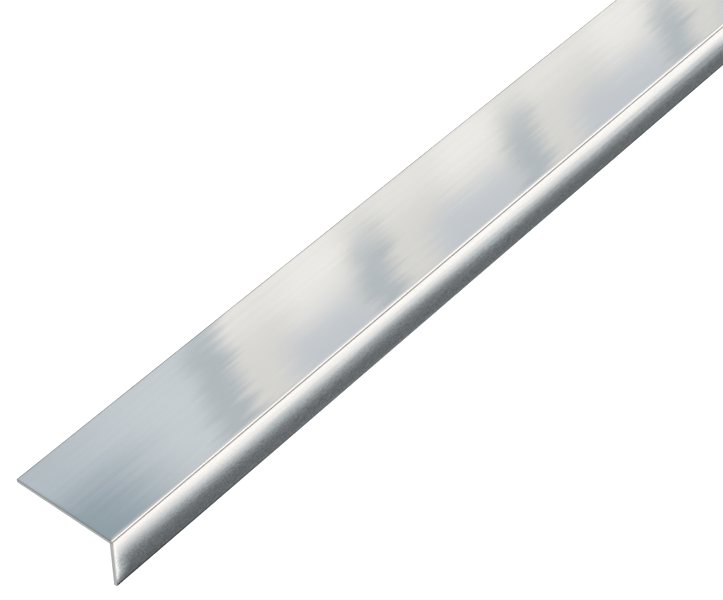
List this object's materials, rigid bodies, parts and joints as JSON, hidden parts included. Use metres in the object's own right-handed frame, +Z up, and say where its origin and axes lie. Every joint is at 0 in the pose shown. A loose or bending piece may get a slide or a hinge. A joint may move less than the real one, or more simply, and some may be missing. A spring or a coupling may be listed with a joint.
{
  "type": "metal angle section",
  "caption": "Thin metal angle with one leg twice as wide as the other, folded from brushed sheet, for edging, framing and corner protection.",
  "frame": {"origin": "bottom centre of the box round the piece, on the floor between its two toes", "axes": "+X along the section, +Y to the back under the wide leg, +Z up; the corner is on top and the narrow leg is at the front"},
  "size_m": [0.5, 0.0334, 0.0135],
  "materials": {
    "brushed_stainless": "brushed along the length, satin"
  },
  "bodies": {
    "root": {"angle_section": "brushed_stainless"}
  },
  "joints": []
}
